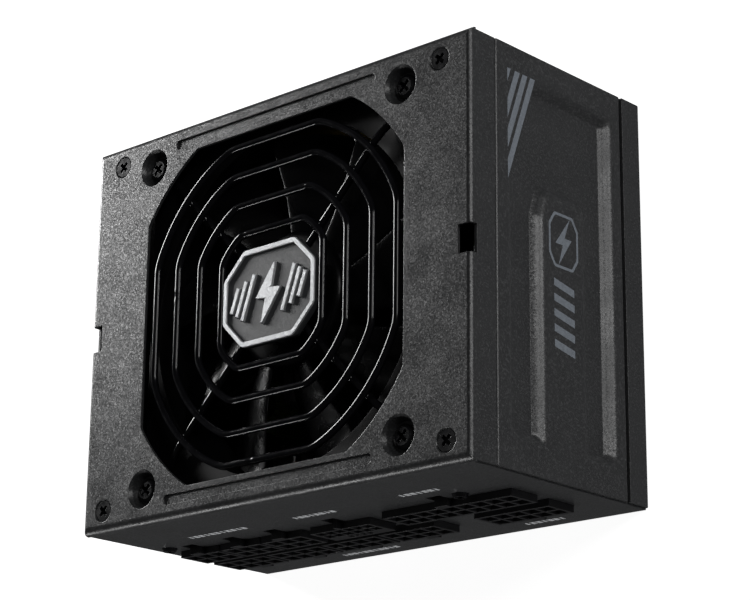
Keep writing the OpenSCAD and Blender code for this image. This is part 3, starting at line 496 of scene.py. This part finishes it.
def wire_ring(flat, big, height, weld):
    path = [Vector((x, y, height)) for x, y in evenly(clipped_circle(flat, big, flat / 4), 0.7)]
    mark = Vector((math.cos(math.radians(weld)), math.sin(math.radians(weld)), 0))
    centre = max(range(len(path)), key=lambda i: path[i].normalized().dot(mark))

    def radius(i):
        away = (path[i] - path[centre]).length
        groove = GROOVE_D * math.exp(-(away / GROOVE_W) ** 2)
        swelling = SWELL_H * math.exp(-((away - SWELL_AT) / SWELL_W) ** 2)
        return WIRE_R - groove + swelling

    return tube(path, radius, closed=True)


def smooth_step(t):
    t = max(0.0, min(1.0, t))
    return t * t * (3 - 2 * t)


def grille_arm(degrees, ring_z, arm_z, eye_z, screw_r):
    """A straight wire under the rings that dips to a loop round its fan screw."""
    dip_start, dip_end = 43.5, 52.5
    inner_end = 7
    step = 0.9
    loop_r = 2.9
    loop_start, loop_swing = 184, 345
    count = int((screw_r - loop_r - inner_end - 0.3) / step) + 1
    arm = []
    for i in range(count):
        r = inner_end + step * i
        sunk = smooth_step((r - dip_start) / (dip_end - dip_start))
        arm.append(Vector((r, 0, arm_z + (eye_z - arm_z) * sunk)))
    loop = [Vector((screw_r + x, y, eye_z))
            for x, y in arc((0, 0), loop_r, loop_start, loop_start + loop_swing, 40)]
    turn = Matrix.Rotation(math.radians(degrees), 3, "Z")
    parts = [tube([turn @ p for p in arm], lambda i: WIRE_R, plane=turn @ Vector((0, 1, 0))),
             tube([turn @ p for p in loop], lambda i: WIRE_R)]
    # Where a ring crosses the arm, the weld has run out into a small saddle on both sides
    for _, big in RING_SIZES:
        centre = turn @ Vector((big, 0, (ring_z + arm_z) / 2))
        parts.append(weld_saddle(centre, turn))
    return parts


def weld_saddle(centre, turn, steps=16, rows=6):
    """A flattened blob with four slight lobes."""
    size, lobe, half_h = 1.15, 0.2, 0.75
    points, faces = [], []
    for i in range(rows + 1):
        v = -math.pi / 2 + math.pi * i / rows
        for k in range(steps):
            u = 2 * math.pi * k / steps
            reach = (size + lobe * math.cos(4 * u)) * math.cos(v)
            local = Vector((reach * math.cos(u), reach * math.sin(u), half_h * math.sin(v)))
            points.append(centre + turn @ local)
    for i in range(rows):
        for k in range(steps):
            m = (k + 1) % steps
            faces.append((i * steps + k, i * steps + m, (i + 1) * steps + m, (i + 1) * steps + k))
    return points, faces


def build_grille():
    ring_z = grille_high.z - WIRE_R
    # The wires are pressed a little into each other where they are welded
    arm_z = ring_z - 2 * WIRE_R + 0.06
    eye_z = grille_low.z + WIRE_R
    screws_high = box_mm("fan_screws")[1]
    screw_r = math.hypot(screws_high.x - FAN_SCREW_HEAD_R, screws_high.y - FAN_SCREW_HEAD_R)
    parts = [wire_ring(flat, big, ring_z, weld) for (flat, big), weld in zip(RING_SIZES, RING_WELDS)]
    for degrees in (45, 135, 225, 315):
        parts += grille_arm(degrees, ring_z, arm_z, eye_z, screw_r)
    points, faces = join_parts(*parts)
    make_piece("grille_wires", points, faces, "grille_gloss", replaces=["fan_grille"], smooth=50)


# ---------- badge ----------

BADGE_CUT = 6.5
# How much shorter the cut of a 45 degree corner gets for each millimetre of inset
CUT_SHARE = 0.586
BADGE_CORNER_R = 2.2
RIM_CORNER_R = 1.6


def badge_outline(inset, corner):
    """The eight-sided outline of the badge, inset by the same distance on every side."""
    half_w = badge_high.x - inset
    half_h = badge_high.y - inset
    cut = BADGE_CUT - CUT_SHARE * inset
    upper = [(half_w, half_h - cut), (half_w - cut, half_h), (cut - half_w, half_h), (-half_w, half_h - cut)]
    return rounded(upper + [(-x, -y) for x, y in upper], corner)


def ring_between(outer, inner, low, high, bevel):
    """A flat ring between two outlines with the same number of points, its upper edges rounded."""
    rows = [(outer, 0, low), (outer, 0, high - bevel), (outer, bevel, high), (inner, -bevel, high),
            (inner, 0, high - bevel), (inner, 0, low)]
    points, faces = [], []
    for outline, inset, z in rows:
        for x, y in outline:
            # Towards the middle by inset
            size = math.hypot(x, y)
            points.append((x * (1 - inset / size), y * (1 - inset / size), z))
    count = len(outer)
    for row in range(len(rows)):
        for k in range(count):
            m = (k + 1) % count
            after = (row + 1) % len(rows)
            faces.append((row * count + k, row * count + m, after * count + m, after * count + k))
    return points, faces


def build_badge():
    rim_w = 1.3
    rim_t = 0.45
    field_z = badge_high.z - 0.7
    rim_low = badge_high.z - rim_t
    rim_inset = 0.05
    outside = badge_outline(0, BADGE_CORNER_R)
    body = raised([outside], badge_low.z, field_z, 0)
    wall = ring_between(outside, badge_outline(rim_w, RIM_CORNER_R), field_z - 0.1, rim_low, 0.01)
    points, faces = join_parts(body, wall)
    make_piece("badge_body", points, faces, "badge_paint", replaces=["badge_field"], smooth=40)
    rim = ring_between(badge_outline(rim_inset, BADGE_CORNER_R),
                       badge_outline(rim_w - rim_inset, RIM_CORNER_R), rim_low, badge_high.z, 0.15)
    make_piece("badge_rim", *rim, "badge_metal", replaces=["badge_plate"], smooth=25)
    bolt = rounded([(2.6, 8.6), (-4.4, -1.2), (-0.5, -1.2), (-2.6, -8.6), (4.4, 1.2), (0.5, 1.2)], 0.25, 2)
    bars = []
    for side in (-1, 1):
        for i in range(3):
            x = side * (6.6 + 2.2 * i)
            h = 5.6 - 1.2 * i
            half_w = 0.6
            lean = 0.35 * h
            bars.append(rounded([(x - half_w - lean, -h), (x + half_w - lean, -h), (x + half_w + lean, h),
                                 (x - half_w + lean, h)], 0.2, 2))
    emblem = raised([bolt] + bars, field_z - 0.05, badge_high.z, 0.12, segments=1)
    make_piece("badge_bolt_and_bars", *emblem, "badge_metal", replaces=["badge_emblem"], smooth=25)


# ---------- rotor ----------

BLADE_COUNT = 9
FIRST_BLADE = 36
HUB_R = 17.0
# The blades start inside the wall of the hub
ROOT_R = HUB_R - 0.9
TIP_R = 42.15


def blade_drop(u, chord_length):
    """How far the blade has sunk at u, from 0 at the leading edge to 1 at the trailing edge."""
    lead_tilt, curl, curl_length, steepening = 8, 11, 0.12, 9
    steps = 24
    drop = 0.0
    for i in range(steps):
        v = u * (i + 0.5) / steps
        # The blade curls over at its leading edge and steepens towards its trailing edge
        tilt = lead_tilt + curl * (1 - math.exp(-v / curl_length)) + steepening * v
        drop += math.tan(math.radians(tilt)) * chord_length * u / steps
    return drop


def blade(turn_degrees):
    """One blade: thick in the middle of its chord, thin at its edges, and leaning as it goes outwards."""
    half_chord, sweep = 15.0, 10.0
    lead_z = grille_low.z - 2.65
    round_from, round_off = 0.86, 0.16
    max_half_t, edge_half_t = 0.62, 0.02
    span, chord = 26, 22
    upper, lower = [], []
    for i in range(span + 1):
        t = i / span
        r = ROOT_R + (TIP_R - ROOT_R) * t
        # The tip corners are rounded
        chord_here = half_chord * (1 - round_off * max(0, (t - round_from) / (1 - round_from)) ** 2.5)
        row_up, row_low = [], []
        for k in range(chord + 1):
            s = -1 + 2 * k / chord
            s = math.sin(s * math.pi / 2)
            a = math.radians(chord_here * s + sweep * t)
            y = r * math.sin(a)
            x = r * math.cos(a)
            z = lead_z - blade_drop((1 - s) / 2, 2 * r * math.sin(math.radians(chord_here)))
            half_t = max_half_t * math.sqrt(max(0.0, 1 - s * s)) * (1.15 - 0.4 * t) + edge_half_t
            row_up.append((x, y, z + half_t))
            row_low.append((x, y, z - half_t))
        upper.append(row_up)
        lower.append(row_low)
    points, faces = [], []
    for row_up, row_low in zip(upper, lower):
        points += row_up + row_low[::-1]
    ring = 2 * (chord + 1)
    for i in range(span):
        for k in range(ring):
            m = (k + 1) % ring
            faces.append((i * ring + k, i * ring + m, (i + 1) * ring + m, (i + 1) * ring + k))
    faces.append(tuple(range(ring)))
    faces.append(tuple(range(span * ring, (span + 1) * ring))[::-1])
    a = math.radians(turn_degrees)
    c, s = math.cos(a), math.sin(a)
    return [(x * c - y * s, x * s + y * c, z) for x, y, z in points], faces


def build_rotor():
    top = rotor_high.z
    low = rotor_low.z
    inner = HUB_R - 1.25
    edge_r = 2.2
    boss_r = 3.0
    shaft_r = 1.5
    under = top - 1.3
    boss_end = top - 4.7
    # The sunk top, the rounded edge and the wall, then the inside with the boss that grips the shaft
    profile = [(0, top - 0.5), (10.6, top - 0.5), (10.9, top - 0.35), (11.1, top), (13.4, top)]
    profile += arc((HUB_R - edge_r, top - edge_r), edge_r, 90, 0, 8)
    profile += [(HUB_R, low), (inner, low), (inner, under), (boss_r, under), (boss_r, boss_end),
                (shaft_r, boss_end), (shaft_r, top - 1.1), (0, top - 1.1)]
    parts = [revolve(profile, 120)]
    parts += [blade(FIRST_BLADE + 360 / BLADE_COUNT * i) for i in range(BLADE_COUNT)]
    # Three small moulding marks on the shoulder of the hub
    mark_at = 12.7
    mark_points, mark_faces = revolve([(0, top + 0.02), (0.85, top + 0.02), (1.05, top - 0.1),
                                       (1.1, top - 0.6)], 20)
    for i in range(3):
        a = math.radians(62 + 120 * i)
        placed = [(x + mark_at * math.cos(a), y + mark_at * math.sin(a), z) for x, y, z in mark_points]
        parts.append((placed, mark_faces))
    points, faces = join_parts(*parts)
    make_piece("rotor_with_blades", points, faces, "rotor_plastic", body=ROTOR, replaces=["fan_rotor"],
               smooth=42)


# ---------- side panels ----------

# The channel and the island: the centres of their rounded corners, as (y, z), and the radius of those
CHANNEL = [(40.1, 39.5), (19.4, 46.9), (-39.0, 46.9), (-39.0, 14.9), (40.1, 14.9)]
CHANNEL_R = 3.6
ISLAND = [(15.6, 35.1), (11.0, 36.6), (-46.0, 36.6), (-46.0, 24.8), (15.6, 24.8)]
ISLAND_R = 1.0
# How deep the channel is, and over what distance its walls fall
PRESS_DEPTH = 2.4
PRESS_RUN = 2.8


def distance_outside(corners, y, z):
    """Distance from a point to a polygon of corner centres, negative inside."""
    best, inside = 1e9, True
    count = len(corners)
    for i in range(count):
        ay, az = corners[i]
        by, bz = corners[(i + 1) % count]
        dy, dz = by - ay, bz - az
        t = max(0.0, min(1.0, ((y - ay) * dy + (z - az) * dz) / (dy * dy + dz * dz)))
        best = min(best, math.hypot(y - ay - t * dy, z - az - t * dz))
        if dy * (z - az) - dz * (y - ay) < 0:
            inside = False
    return -best if inside else best


def eased(t):
    """A pressed wall: rounded at its shoulder, where t is 0, and creased at its foot, where t is 1."""
    t = max(0.0, min(1.0, t))
    return 0.3 * t + 0.7 * t * t


def press_depth(y, z):
    """Depth of the pressed channel below the panel's face."""
    into_channel = CHANNEL_R - distance_outside(CHANNEL, y, z)
    off_island = distance_outside(ISLAND, y, z) - ISLAND_R
    return PRESS_DEPTH * min(eased(into_channel / PRESS_RUN), eased(off_island / PRESS_RUN))


def build_side_panel(name, node, side):
    """A pressed side sheet with a jogged lip behind the flanges above and below it."""
    face_x = panel_high.x
    sheet = 0.8
    end_y = panel_high.y
    low_z, high_z = 8.0, 54.8
    step = 0.5
    columns = round(2 * end_y / step)
    column = [-end_y + 2 * end_y * i / columns for i in range(columns + 1)]
    rows = round((high_z - low_z - 2 * step) / step)
    row_z = [low_z + step + (high_z - low_z - 2 * step) * i / rows for i in range(rows + 1)]
    # The rolled edge, as (distance from the edge, depth), and the lips beyond it, as (z, depth)
    roll = [(0.32, 0.05), (0.14, 0.18), (0.03, 0.4), (0.0, 0.9)]
    lip_top = [(high_z + 0.02, 0.95), (high_z + 4.0, 0.95)]
    lip_low = [(low_z - 0.02, 1.05), (low_z - 4.5, 1.05)]
    # The ends of the lips stop short of the ends of the sheet
    lip_from, lip_short = 0.92, 0.6
    levels = [(z, d) for z, d in reversed(lip_low)] + [(low_z + dz, d) for dz, d in reversed(roll)]
    levels += [(z, None) for z in row_z]
    levels += [(high_z - dz, d) for dz, d in roll] + lip_top
    points = []
    for z, depth in levels:
        is_lip = depth is not None and depth > lip_from
        for y in column:
            d = press_depth(y, z) if depth is None else depth
            points.append((side * (face_x - d), y * (1 - lip_short / end_y) if is_lip else y, z))
    width = len(column)
    notch_half_w = 3.0
    faces = []
    for i in range(len(levels) - 1):
        for k in range(width - 1):
            # The cover's notch is open through the lip as well
            if levels[i][0] > high_z and abs(column[k] + step / 2) < notch_half_w:
                continue
            faces.append((i * width + k, i * width + k + 1, (i + 1) * width + k + 1, (i + 1) * width + k))
    mesh = bpy.data.meshes.new(name)
    mesh.from_pydata([Vector(p) * MM for p in points], [], faces)
    shape = bmesh.new()
    shape.from_mesh(mesh)
    bmesh.ops.recalc_face_normals(shape, faces=shape.faces)
    # The faces have to look outwards, as the face nearest to a place on the outer surface does
    outer = Vector((side * face_x, 0, 50)) * MM
    nearest = min(shape.faces, key=lambda f: (f.calc_center_median() - outer).length)
    if nearest.normal.x * side < 0:
        bmesh.ops.reverse_faces(shape, faces=shape.faces)
    loose = [v for v in shape.verts if not v.link_faces]
    bmesh.ops.delete(shape, geom=loose, context="VERTS")
    bmesh.ops.solidify(shape, geom=shape.faces[:], thickness=sheet * MM)
    shape.to_mesh(mesh)
    shape.free()
    place_mesh(name, mesh, "case_paint", replaces=[node], smooth=40)


# ---------- printed marks ----------

PRINT_T = 0.03
# How far the ink reaches into the surface below it
PRINT_SINK = 0.01


def print_on_side(name, outlines):
    """Ink on the right side panel. Outlines are (y, z) in millimetres."""
    points, faces = raised(outlines, 0, PRINT_T, 0)
    placed = [(panel_high.x + h - PRINT_SINK, u, v) for u, v, h in points]
    make_piece(name, placed, faces, "case_paint", finish="print_ink")


def print_on_front(name, outlines):
    """Ink on the connector wall. Outlines are (x, z) in millimetres."""
    points, faces = raised(outlines, 0, PRINT_T, 0)
    placed = [(u, wall_low.y - h + PRINT_SINK, v) for u, v, h in points]
    make_piece(name, placed, faces, "case_paint", finish="label_ink")


def build_side_prints():
    # Four slanted stripes that fill the corner beside the channel, cut off along the seam
    edge_z = case_top - 12.8
    end_y = 43.7
    slope = 0.376
    pitch = 2.75
    stripes = []
    for i in range(4):
        # Where the stripe starts and stops below the seam, at the end of the print
        start = pitch * i + 0.05
        stop = start + 1.75 if i else start + 1.2
        stripe = [(end_y, edge_z - start), (end_y, edge_z - stop), (end_y - stop / slope, edge_z),
                  (end_y - start / slope, edge_z)]
        # The first one fills the corner, so it is a triangle
        stripes.append(stripe if i else [(end_y, edge_z)] + stripe[1:3])
    print_on_side("side_stripes", stripes)
    # A bolt in a rounded frame, then slanted bars, on the raised island
    centre_y, centre_z = 7.0, case_top - 32.7
    bolt = [(2.4, 6.0), (-3.0, -0.9), (-0.3, -0.9), (-1.9, -6.0), (3.0, 0.9), (0.4, 0.9)]
    print_on_side("side_bolt", [[(centre_y + y, centre_z - x) for x, y in bolt]])
    upper = [(6.6, 3.4), (3.6, 5.4), (-3.6, 5.4), (-6.6, 3.4)]
    outer = rounded(upper + [(-x, -y) for x, y in upper], 1.0)
    inner = [(x * 0.9, y * 0.88) for x, y in outer]
    points, faces = ring_between(outer, inner, 0, PRINT_T, 0.001)
    placed = [(panel_high.x + h - PRINT_SINK, centre_y + u, centre_z + v) for u, v, h in points]
    make_piece("side_bolt_frame", placed, faces, "case_paint", finish="print_ink")
    bars = []
    half_h = 3.7
    half_w = 0.9
    lean = 0.7
    for i in range(5):
        y = -4.0 - 3.6 * i
        bars.append([(y - half_w + lean, centre_z + half_h), (y + half_w + lean, centre_z + half_h),
                     (y + half_w - lean, centre_z - half_h), (y - half_w - lean, centre_z - half_h)])
    print_on_side("side_bars", bars)


def build_front_prints():
    """A row of plain bars beside each group of sockets, every third one narrow."""
    # Each row's left and right end, and its height
    rows = [(-43.6, -23.6, 45.2), (-8.0, 5.6, 45.2), (27.0, 39.0, 47.0), (-29.0, -10.0, 5.4),
            (30.0, 42.0, 5.4)]
    pitch = 1.8
    half_h = 0.95
    marks = []
    for left, right, z in rows:
        count = round((right - left) / pitch)
        for i in range(count):
            x = left + (right - left) * (i + 0.5) / count
            half_w = 0.68 if i % 3 else 0.35
            marks.append([(x - half_w, z - half_h), (x + half_w, z - half_h), (x + half_w, z + half_h),
                          (x - half_w, z + half_h)])
    print_on_front("socket_pips", marks)


def build_rocker_marks():
    """The bar and the ring that say on and off, on the two planes of the rocker."""
    # The rocker as it is drawn in the CAD: where it turns, how far it is tipped and its two sloping planes
    pivot = Vector(((rocker_low.x + rocker_high.x) / 2, 46.0, 20.0))
    tilt = Matrix.Rotation(math.radians(-11), 3, "X")
    middle_y, end_rise, half_length = 4.3, 0.5, 7.5
    mark_r, inner_r, bar_half_w = 1.5, 1.1, 0.22
    mark_up = 4.0
    sink = 0.005
    bar = raised([[(-bar_half_w, -mark_r), (bar_half_w, -mark_r), (bar_half_w, mark_r),
                   (-bar_half_w, mark_r)]], 0, PRINT_T, 0)
    outer, inner = (arc((0, 0), r, 0, 348, 29) for r in (mark_r, inner_r))
    ring = ring_between(outer, inner, 0, PRINT_T, 0.001)
    parts = []
    for (mark_points, mark_faces), side in ((bar, 1), (ring, -1)):
        lean = Matrix.Rotation(side * math.atan2(end_rise, half_length), 3, "X")
        spot = Vector((0, middle_y + end_rise * mark_up / half_length - sink, side * mark_up))
        placed = [pivot + tilt @ (lean @ Vector((u, h, v)) + spot) for u, v, h in mark_points]
        parts.append((placed, mark_faces))
    points, faces = join_parts(*parts)
    make_piece("rocker_marks", points, faces, "rocker_plastic", body=ROCKER, finish="label_ink")


# ---------- the scene ----------

add_camera()
add_studio()
add_floor()
finish_cad_nodes()
build_grille()
build_badge()
build_rotor()
build_side_panel("pressed_side_right", "side_panel_right", 1)
build_side_panel("pressed_side_left", "side_panel_left", -1)
build_side_prints()
build_front_prints()
build_rocker_marks()
